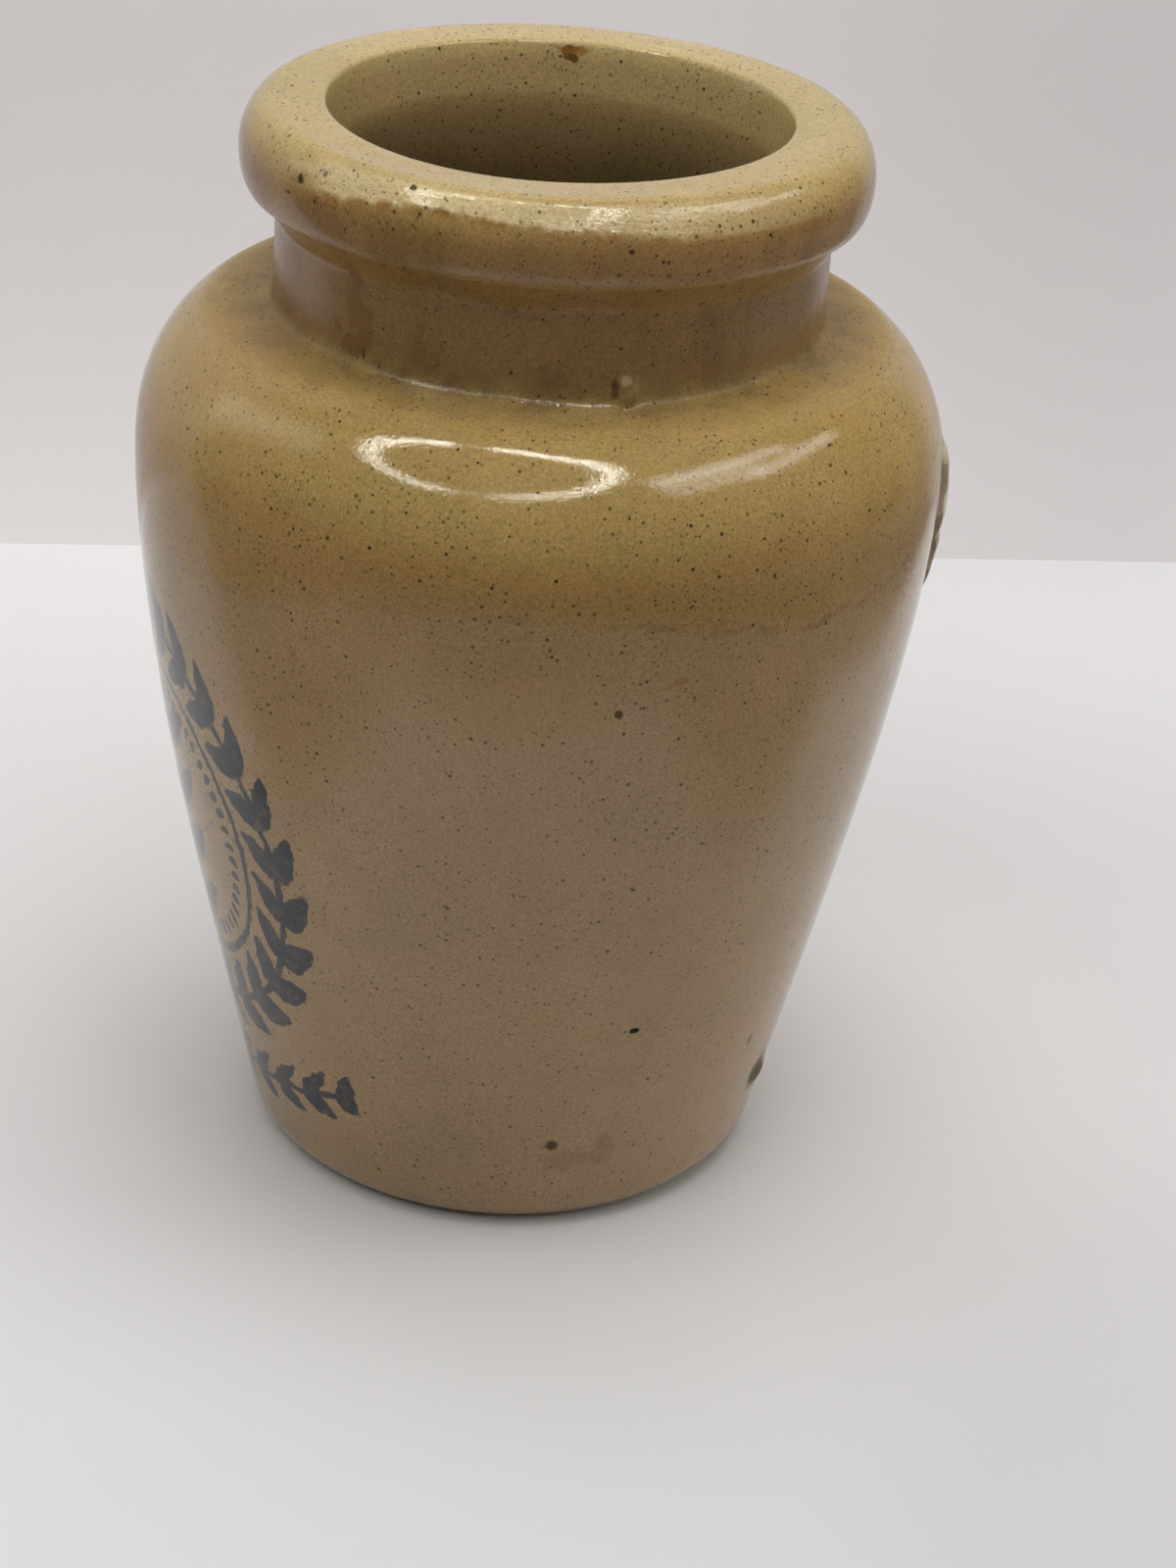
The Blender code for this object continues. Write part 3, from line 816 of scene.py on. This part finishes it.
# Spots in the glaze: radius (none: on the wall), height, azimuth, half width and height in mm,
# ragged, strength, colour
spots = dict(
    footChip=(None, 11.0, -78.8, 0.62, 0.55, 0.35, 0.90, (0.060, 0.045, 0.018)),
    footWear=(None, 9.4, -72.0, 3.4, 1.5, 1.20, 0.30, (0.130, 0.095, 0.060)),
    pitRim=(None, 25.0, -66.2, 0.75, 0.48, 0.30, 0.40, (0.420, 0.340, 0.240)),
    pit=(None, 25.0, -66.2, 0.60, 0.36, 0.15, 1.00, (0.004, 0.006, 0.003)),
    ovalDrip=(27.7, 10.6, -23.5, 1.35, 1.85, 0.30, 0.90, (0.095, 0.085, 0.040)),
    # the blister's three spots are painted light and shade: painted shade on one side, a painted highlight
    # over its top and another along its other side
    blisterShade=(25.6, 87.6, -76.2, 0.36, 1.00, 0.30, 0.75, (0.070, 0.036, 0.012)),
    blisterPale=(25.9, 88.3, -74.2, 0.50, 0.50, 0.40, 0.80, (0.420, 0.330, 0.170)),
    blisterEdge=(25.8, 87.3, -71.4, 0.30, 0.95, 0.40, 0.70, (0.380, 0.290, 0.140)),
    neckRun=(None, 90.8, -130.5, 1.70, 3.60, 0.80, 0.50, (0.155, 0.072, 0.020)),
    brownNick=(None, 17.8, -33.7, 0.45, 0.75, 0.50, 0.60, (0.130, 0.075, 0.040)),
    cluster=(None, 61.9, -77.3, 0.42, 0.34, 1.00, 0.80, (0.045, 0.024, 0.010)),
    rustHalo=(None, 64.9, -69.0, 0.70, 0.45, 0.40, 0.45, (0.210, 0.090, 0.030)),
    neckScar=(25.4, 87.5, -128.3, 0.16, 0.95, 0.30, 0.85, (0.030, 0.012, 0.004)),
    lipStainDeep=(21.0, 103.8, 90.0, 1.50, 0.55, 1.30, 0.95, (0.110, 0.045, 0.006)),
    lipStainAmber=(21.2, 104.1, 85.5, 1.60, 0.45, 0.90, 0.80, (0.260, 0.120, 0.010)),
    rimSpotLeft=(28.5, 102.3, -139.8, 0.42, 0.42, 0.35, 0.95, (0.035, 0.020, 0.008)),
    rimSpotMiddle=(27.3, 104.2, -115.8, 0.30, 0.26, 0.30, 0.90, (0.030, 0.020, 0.010)),
)

# Cracks and scratches: two points, width and wander in mm, strength
cracks = dict(
    mouthCrackUpper=((19.8, 102.0, 119.0), (19.7, 100.0, 107.0), 0.09, 1.3, 0.55),
    mouthCrackLower=((19.7, 100.0, 107.0), (19.7, 96.6, 95.7), 0.09, 1.3, 0.55),
    lipCrack=((22.6, 105.0, -176.0), (20.5, 103.3, -171.0), 0.12, 1.0, 0.60),
    crestHook=((23.5, 105.0, -36.5), (22.0, 104.9, -33.5), 0.10, 1.6, 0.40),
    wallScratch=((37.0, 61.3, -113.8), (36.8, 59.2, -117.5), 0.11, 0.7, 0.50),
)


def raised(tree, place, name, stretch=None):
    perMetre, detail, rough, height = relief[name]
    return times(tree, cloud(tree, place, perMetre, detail, rough, stretch), height)


def bumped(tree, shader, height):
    bump = addNode(tree, 'ShaderNodeBump', None, {"Height": height, "Strength": 1.0, "Distance": 1.0})
    tree.links.new(bump.outputs[0], shader.inputs["Normal"])


def glazedStoneware():
    material, tree, shader = newMaterial("buff salt glaze")
    place, parts = ownPlace(tree)
    side, back, height = parts[0], parts[1], parts[2]

    def field(name):
        return addNode(tree, 'ShaderNodeAttribute', {"attribute_name": name}).outputs["Fac"]

    def drifting(name, stretch=None):
        perMetre, detail, rough, *spread = drifts[name]
        value = cloud(tree, place, perMetre, detail, rough, stretch)
        return ramp(tree, value, *spread) if spread else value

    def over(value, *names):
        ramps = []
        for start, end, *ends in (stretches[name] for name in names):
            ramps.append(ramp(tree, value, start * mm, end * mm, *ends))
        return times(tree, *ramps)

    def coat(under, name, *masks):
        if name in cover:
            masks = (*masks, cover[name])
        return tint(tree, times(tree, *masks), under, asColour(glaze[name]))

    # two glazes, with a wavy browner border between them and a thin dark line where the dip ends
    outer = without(tree, field("hollow"))
    uneven = calc(tree, 'SUBTRACT', drifting("uneven"), 0.5)
    dip = addShare(tree, uneven, dipLine["waver"], field("dip"))
    risen = addShare(tree, uneven, dipLine["riseWaver"], height)
    dipped = tint(tree, over(risen, "shoulder"), asColour(glaze["brown"]), asColour(glaze["ochre"]))
    colour = tint(tree, ramp(tree, dip, *dipLine["fade"]), asColour(glaze["buff"]), dipped)
    off = times(tree, calc(tree, 'SUBTRACT', dip, dipLine["brown"]), dipLine["brownNarrow"])
    colour = coat(colour, "border", calc(tree, 'EXPONENT', times(tree, off, off, -1.0)))
    off = calc(tree, 'ABSOLUTE', calc(tree, 'SUBTRACT', dip, dipLine["tide"]))
    tide = ramp(tree, off, *dipLine["tideFade"])
    colour = coat(colour, "tide", tide, drifting("tide"), over(side, "tideSide"), outer)
    # inside, painted shade darkens the glaze deeper down in the hollow
    inside = tint(tree, over(height, "deep"), asColour(glaze["deepShade"]), asColour(glaze["hollow"]))
    colour = tint(tree, field("hollow"), colour, inside)
    # browner on the neck, partly its glaze and partly painted shade under the rim's overhang, with painted
    # shade in the angle at its foot and runs down it
    neck = times(tree, over(risen, "neckUp"), over(height, "neckDown"), outer)
    colour = coat(colour, "neck", neck)
    # painted shade in the angle at the neck's foot
    dust = times(tree, over(fromAxis(tree, place), "creaseShadeOut"), over(height, "creaseShadeTop", "creaseShadeFoot"))
    colour = coat(colour, "dust", dust, outer, drifting("dust"))
    colour = coat(colour, "run", drifting("runs", drawnDown), neck)
    # paler where the glaze runs thin over the rim's crest, with a painted glare on the flat and a painted
    # highlight along the crest at the back, torn along the flat's lower edge
    crest = over(height, "crest")
    colour = coat(colour, "rimPale", crest)
    # a painted glare over the rim's flat
    colour = coat(colour, "flatGlare", field("rimFlat"))
    # a painted highlight along the crest at the back
    colour = coat(colour, "crestBackHighlight", crest, over(back, "back"))
    colour = coat(colour, "broken", field("rimEdge"), drifting("torn"))
    # slow drifts of tone, then a fine grain
    colour = greyed(tree, colour, times(tree, drifting("drift"), drifting("patches"), drifting("grain")))
    colour = coat(colour, "warm", drifting("warm"))
    # iron: fine freckles everywhere, larger grains in loose clusters and at two places on the rim
    share = times(tree, drifting("clusters"), over(height, "iron"))
    rimShare = 0.0
    for middle in iron["rimPlaces"]:
        sockets = {"Place": place, "Centre": onPot(*middle), **iron["rimSpot"]}
        rimShare = calc(tree, 'MAXIMUM', placeGroup(tree, groups["spot"], sockets), rimShare)
    share = addShare(tree, rimShare, iron["rimMore"], share)
    layers = [(share, layer) for layer in iron["fine"]]
    layers += [(rimShare, iron["onRim"]), (share, iron["largest"])]
    for given, (perMetre, reach, amount, strength) in layers:
        mask = placeGroup(tree, groups["specks"], {"Place": place, "Per Metre": perMetre, "Reach": reach,
                                                   "Share": times(tree, given, amount)})
        colour = coat(colour, "speck", mask, strength)
    # the print lies under the glaze
    ink = times(tree, wreathMask(tree, place), drifting("ink"))
    colour = tint(tree, ink, colour, asColour(wreath["ink"]))
    dull = 0.0
    section = outerSection()
    for name, spot in spots.items():
        radius, spotHeight, azimuth, halfWide, halfHigh, ragged, strength, shade = spot
        if radius is None:
            radius = wallRadius(section, spotHeight * mm) / mm
        mask = placeGroup(tree, groups["spot"], {
            "Place": place, "Centre": onPot(radius, spotHeight, azimuth), "Half Wide": halfWide * mm,
            "Half High": halfHigh * mm, "Ragged": ragged, "Soft": spotSoft,
            "Per Metre": spotGrain / max(halfWide, halfHigh) ** 0.5})
        mask = times(tree, mask, strength)
        # the blister keeps its gloss
        if not name.startswith("blister"):
            dull = calc(tree, 'MAXIMUM', mask, dull)
        colour = tint(tree, mask, colour, asColour(shade))
    for start, end, width, wander, strength in cracks.values():
        mask = placeGroup(tree, groups["crack"], {"Place": place, "From": onPot(*start), "To": onPot(*end),
                                                  "Width": width * mm, "Wander": wander * mm})
        colour = coat(colour, "crack", mask, strength)
    # the standing face is bare
    bare = over(addShare(tree, uneven, bareWaver, height), "bare")
    tree.links.new(coat(colour, "bareFoot", bare), shader.inputs["Base Color"])
    # duller up the neck, and all round its foot but for the front
    front = times(tree, over(side, "frontLeft", "frontRight"), over(back, "frontBack"))
    neckFoot = times(tree, over(height, "footUp", "footDown"), without(tree, front))
    rough = addShare(tree, drifting("gloss"), gloss["roughDrift"], gloss["rough"])
    rough = calc(tree, 'ADD', rough, over(height, "hazeUp", "haze", "hazeDown"))
    for name, mask in (("spot", dull), ("bare", bare), ("neckFoot", neckFoot), ("rimFlat", field("rimFlat"))):
        rough = addShare(tree, mask, gloss[name], rough)
    tree.links.new(rough, shader.inputs["Roughness"])
    sheen = times(tree, addShare(tree, dull, gloss["spotSheen"], 1.0), gloss["sheen"],
                  addShare(tree, neckFoot, gloss["footSheen"], 1.0))
    tree.links.new(sheen, shader.inputs["Specular IOR Level"])
    shader.inputs["IOR"].default_value = gloss["bend"]
    # orange peel, a fine tooth, beads at the foot of the neck and wrinkles on the rim's flat
    bumps = calc(tree, 'ADD', raised(tree, place, "peel"), raised(tree, place, "tooth"))
    bumps = calc(tree, 'ADD', bumps, raised(tree, place, "sparkle"))
    beaded = times(tree, over(height, "beadsUp", "beadsDown"), front)
    bumps = addShare(tree, raised(tree, place, "beads"), beaded, bumps)
    bumps = addShare(tree, raised(tree, place, "wrinkle", drawnRound), field("rimFlat"), bumps)
    bumped(tree, shader, addShare(tree, dull, -spotDepth, bumps))
    return material


# Broken clay: a drift between two tones, with grit in it
clay = dict(
    drift=(420.0, 4.0, 0.6), spread=(0.35, 0.65), dark=(0.320, 0.262, 0.180), pale=(0.560, 0.480, 0.370),
    grit={"Per Metre": 1300.0, "Reach": 0.16, "Share": 0.5}, gritShare=0.7, rough=0.85, sheen=0.3,
)


def bareKilnClay():
    material, tree, shader = newMaterial("bare kiln clay", clay["rough"], clay["sheen"])
    place = addNode(tree, 'ShaderNodeTexCoord').outputs["Object"]
    mix = ramp(tree, cloud(tree, place, *clay["drift"]), *clay["spread"])
    colour = tint(tree, mix, asColour(clay["dark"]), asColour(clay["pale"]))
    grit = placeGroup(tree, groups["specks"], {"Place": place, **clay["grit"]})
    colour = tint(tree, times(tree, grit, clay["gritShare"]), colour, asColour(glaze["speck"]))
    tree.links.new(colour, shader.inputs["Base Color"])
    bumped(tree, shader, raised(tree, place, "clay"))
    return material


vessel.data.materials.append(glazedStoneware())
kilnScab.data.materials.append(bareKilnClay())
print("glazes mixed")


# Pale table and backdrop. A ramp has where it starts and ends in metres, then the values there.
table = dict(
    tone=(0.79, 0.785, 0.785), wallTone=(0.825, 0.785, 0.790),
    rough=0.6, sheen=0.2, wallRough=0.7, wallSheen=0.1,
    reach=3.0, wallAt=(9.5 * mm, 139.5 * mm), wallTurn=6.65, wallHigh=0.9,
    # painted light and shade on the table: lighter towards the back and the left, darker to the right, a
    # painted shadow at the right front, and lighter close to the pot's foot where its shadow falls
    toBack=(0.050, 0.135, 0.97, 1.15), toRight=(-0.055, 0.060, -0.04, 0.05),
    paintedLightNearFoot=(0.030, 0.080, 1.08, 1.0),
    rightSide=(0.025, 0.050), paintedShadowRightFront=(-0.030, 0.010, 1.0, 0.0), paintedShadowRightFrontMore=-0.05,
    darkShare=0.75,          # how much darker the room beyond the lit table mirrors in the glaze
    darkSlope=0.37, darkStart=-0.037, darkFade=(0.0, 0.03),
    litSide=(0.05, 0.09, 1.0, 0.0), litFront=(-0.13, -0.09),
    darkRight=(0.110, 0.135), wallDarkRight=(0.12, 0.22),
    farGlow=0.52, farTint=(1.0, 0.99, 0.985), wallFarTint=(1.0, 0.985, 0.965),
    far=(0.18, 0.60), behindWall=(-0.0005, 0.0005), wallFarUp=(0.10, 0.40), wallFarSide=(0.12, 0.45),
    # the card's glow towards the table is painted light, and it takes painted shade towards the right
    wallFoot=(-0.02, 0.075, 0.13, 0.0), wallShadeRight=(0.0, 0.09, 1.0, 0.84),
)


def layPlane(name):
    bpy.ops.object.select_all(action='DESELECT')
    bpy.ops.mesh.primitive_plane_add(size=2 * table["reach"], location=(0, 0, 0))
    plane = bpy.context.active_object
    plane.name = name
    return plane


def glowing(tree, shader, strength, glowTint):
    # light that only the eye sees
    shader.inputs["Emission Color"].default_value = asColour(glowTint)
    seen = addNode(tree, 'ShaderNodeLightPath').outputs["Is Camera Ray"]
    tree.links.new(times(tree, strength, seen), shader.inputs["Emission Strength"])


def tablePaper():
    paper, tree, shader = newMaterial("table paper", table["rough"], table["sheen"])
    place, parts = ownPlace(tree)
    right, back = parts[0], parts[1]

    # painted light and shade: lighter towards the back and the left, with a painted shadow at the right front
    tone = calc(tree, 'SUBTRACT', ramp(tree, back, *table["toBack"]), ramp(tree, right, *table["toRight"]))
    paintedShadowRightFront = times(tree, ramp(tree, right, *table["rightSide"]), ramp(tree, back, *table["paintedShadowRightFront"]))
    tone = addShare(tree, paintedShadowRightFront, table["paintedShadowRightFrontMore"], tone)
    reach = vectorCalc(tree, 'LENGTH', place)
    # only in mirror rays: the room is dark beyond the lit part of the table
    side = calc(tree, 'ABSOLUTE', right)
    beyond = calc(tree, 'SUBTRACT', addShare(tree, side, table["darkSlope"], table["darkStart"]), back)
    lit = times(tree, ramp(tree, side, *table["litSide"]), ramp(tree, back, *table["litFront"]))
    dark = times(tree, ramp(tree, beyond, *table["darkFade"]), without(tree, lit))
    dark = calc(tree, 'MAXIMUM', dark, ramp(tree, right, *table["darkRight"]))
    mirrored = addNode(tree, 'ShaderNodeLightPath').outputs["Is Glossy Ray"]
    dark = times(tree, dark, mirrored, table["darkShare"])
    # painted light lifts the pot's shadow close to its foot
    tone = times(tree, tone, ramp(tree, reach, *table["paintedLightNearFoot"]), without(tree, dark))
    tree.links.new(greyed(tree, asColour(table["tone"]), tone), shader.inputs["Base Color"])
    # far off, where no lamp reaches, the table stays pale
    slope = -math.tan(math.radians(table["wallTurn"]))
    behind = calc(tree, 'ADD', back, addShare(tree, right, slope, -table["wallAt"][1]))
    far = calc(tree, 'MAXIMUM', ramp(tree, reach, *table["far"]), ramp(tree, behind, *table["behindWall"]))
    glowing(tree, shader, times(tree, far, table["farGlow"]), table["farTint"])
    return paper


def backdropCard():
    card, tree, shader = newMaterial("backdrop card", table["wallRough"], table["wallSheen"])
    parts = ownPlace(tree)[1]
    right, up = parts[0], parts[2]
    path = addNode(tree, 'ShaderNodeLightPath').outputs

    # the card glows, a painted light that only the eye sees, brighter towards the table and far off
    side = calc(tree, 'ABSOLUTE', right)
    far = calc(tree, 'MAXIMUM', ramp(tree, up, *table["wallFarUp"]), ramp(tree, side, *table["wallFarSide"]))
    glow = addShare(tree, far, table["farGlow"], ramp(tree, up, *table["wallFoot"]))
    glowing(tree, shader, glow, table["wallFarTint"])
    # painted shade darkens it to the right, and it mirrors darker beyond the table's right edge
    dark = times(tree, ramp(tree, right, *table["wallDarkRight"]), path["Is Glossy Ray"])
    tone = times(tree, ramp(tree, right, *table["wallShadeRight"]), addShare(tree, dark, -table["darkShare"], 1.0))
    tree.links.new(greyed(tree, asColour(table["wallTone"]), tone), shader.inputs["Base Color"])
    # from its back the eye sees through it
    either = tree.nodes.new('ShaderNodeMixShader')
    facing = addNode(tree, 'ShaderNodeNewGeometry').outputs["Backfacing"]
    tree.links.new(times(tree, facing, path["Is Camera Ray"]), either.inputs[0])
    tree.links.new(shader.outputs[0], either.inputs[1])
    tree.links.new(tree.nodes.new('ShaderNodeBsdfTransparent').outputs[0], either.inputs[2])
    tree.links.new(either.outputs[0], tree.nodes["Material Output"].inputs["Surface"])
    return card


def setTable():
    floor = layPlane("table_top")
    floor.data.materials.append(tablePaper())
    wall = layPlane("backdrop")
    turn = Matrix.Rotation(math.radians(table["wallTurn"]), 4, 'Z') @ Matrix.Rotation(outwards, 4, 'X')
    wall.data.transform(Matrix.Translation((*table["wallAt"], 0)) @ turn)
    for corner in wall.data.vertices:
        corner.co.z = table["wallHigh"] if corner.co.z > 0 else 0.0
    wall.data.materials.append(backdropCard())


# Soft light: a panel overhead, two at the sides, windows that mirror in the glaze,
# and a ring of small lamps before the pot
lamps = dict(
    panels=dict(overhead=((0.03, 0.03, 0.46), (0.42, 0.26), 1.22, (0, 0.01, 0)),      # at, size, power, aim
                left=((-0.34, 0.06, 0.16), (0.26, 0.24), 0.20, (0, 0, 0.05)),
                right=((0.34, 0.04, 0.11), (0.26, 0.20), 0.36, (0, 0, 0.05))),
    # a window has its start, end, width and power
    leftWindows=(((-0.320, 0.160, 0.153), (-0.282, -0.080, 0.317), 0.140, 0.070),
                 ((-0.320, 0.120, 0.180), (-0.282, -0.080, 0.317), 0.070, 0.040)),
    rightWindows=(((0.193, -0.235, 0.401), (0.315, 0.033, 0.377), 0.050, 0.17),
                  ((0.215, -0.245, 0.365), (0.310, -0.060, 0.345), 0.090, 0.17),
                  ((0.345, -0.110, 0.345), (0.345, 0.115, 0.320), 0.045, 0.12)),
    leftTone=(1.0, 0.94, 0.82), rightTone=(1.0, 0.98, 0.95), windowAim=(0.018, -0.028, 0.082),
    ringAt=(-0.060, -0.167, 0.300), ringHalf=(0.1395, 0.120), ringLamps=30, ringWide=0.007, ringFilled=0.8,
    ringPower=0.028, ringTone=(1.0, 0.98, 0.86),
    ringGaps=((84.0, 9.0, 0.04), (-106.0, 14.0, 0.15)),   # angle, half width, share of light left
    ringGlow=0.34, ringAim=(0, 0, 0.05),     # soft light from the whole ring
    air=0.12, airTone=(1.0, 0.99, 0.97), airSeen=0.66,
)


def newLamp(name, size, power, tone=(1.0, 1.0, 1.0)):
    light = bpy.data.lights.new(name, 'AREA')
    light.shape = 'RECTANGLE'
    light.size, light.size_y = size
    light.energy = power
    light.color = tone
    lamp = bpy.data.objects.new(name, light)
    bpy.context.scene.collection.objects.link(lamp)
    lamp.visible_camera = False
    return lamp


def hangPanel(name, at, size, power, aim):
    panel = newLamp(name, size, power)
    panel.location = at
    panel.rotation_euler = (Vector(aim) - Vector(at)).to_track_quat('-Z', 'Y').to_euler()
    panel.visible_glossy = False


def hangWindow(start, end, wide, power, tone):
    # a long soft window that only mirrors in the glaze
    start, end = Vector(start), Vector(end)
    window = newLamp("window strip", ((end - start).length, wide), power, tone)
    middle = (start + end) / 2
    along = (end - start).normalized()
    across = (middle - Vector(lamps["windowAim"])).normalized().cross(along).normalized()
    back = along.cross(across)
    window.matrix_world = Matrix.Translation(middle) @ Matrix((along, across, back)).transposed().to_4x4()
    window.visible_diffuse = False


def hangRing():
    halfWide, halfDeep = lamps["ringHalf"]
    hangPanel("ring glow", lamps["ringAt"], (2 * halfWide, 2 * halfDeep), lamps["ringGlow"], lamps["ringAim"])
    step = 2 * math.pi / lamps["ringLamps"]
    for index in range(lamps["ringLamps"]):
        angle = index * step
        spoke = Vector((math.cos(angle) * halfWide, math.sin(angle) * halfDeep, 0))
        along = Vector((-math.sin(angle) * halfWide, math.cos(angle) * halfDeep, 0))
        power = lamps["ringPower"]
        for gapAngle, gapHalf, gapShare in lamps["ringGaps"]:
            if abs((math.degrees(angle) - gapAngle + 180) % 360 - 180) < gapHalf:
                power = lamps["ringPower"] * gapShare
        size = (lamps["ringWide"], lamps["ringFilled"] * step * along.length)
        lamp = newLamp("ring lamp", size, power, lamps["ringTone"])
        lamp.location = Vector(lamps["ringAt"]) + spoke
        lamp.rotation_euler = (0, 0, math.atan2(along.y, along.x) - outwards)
        lamp.visible_diffuse = False


def hangLamps():
    for name, panel in lamps["panels"].items():
        hangPanel(name, *panel)
    for window in lamps["leftWindows"]:
        hangWindow(*window, lamps["leftTone"])
    for window in lamps["rightWindows"]:
        hangWindow(*window, lamps["rightTone"])
    hangRing()


def openAir():
    world = bpy.data.worlds.new("soft room")
    bpy.context.scene.world = world
    world.use_nodes = True
    tree = world.node_tree
    backdrop = tree.nodes["Background"]
    seen = addNode(tree, 'ShaderNodeLightPath').outputs["Is Camera Ray"]
    strength = calc(tree, 'MULTIPLY_ADD', seen, lamps["airSeen"] - lamps["air"], lamps["air"])
    backdrop.inputs["Color"].default_value = asColour(lamps["airTone"])
    tree.links.new(strength, backdrop.inputs["Strength"])


setTable()
hangLamps()
openAir()
bpy.context.scene.view_settings.view_transform = 'Standard'
print("table, backdrop and lamps set")

bpy.context.view_layer.update()
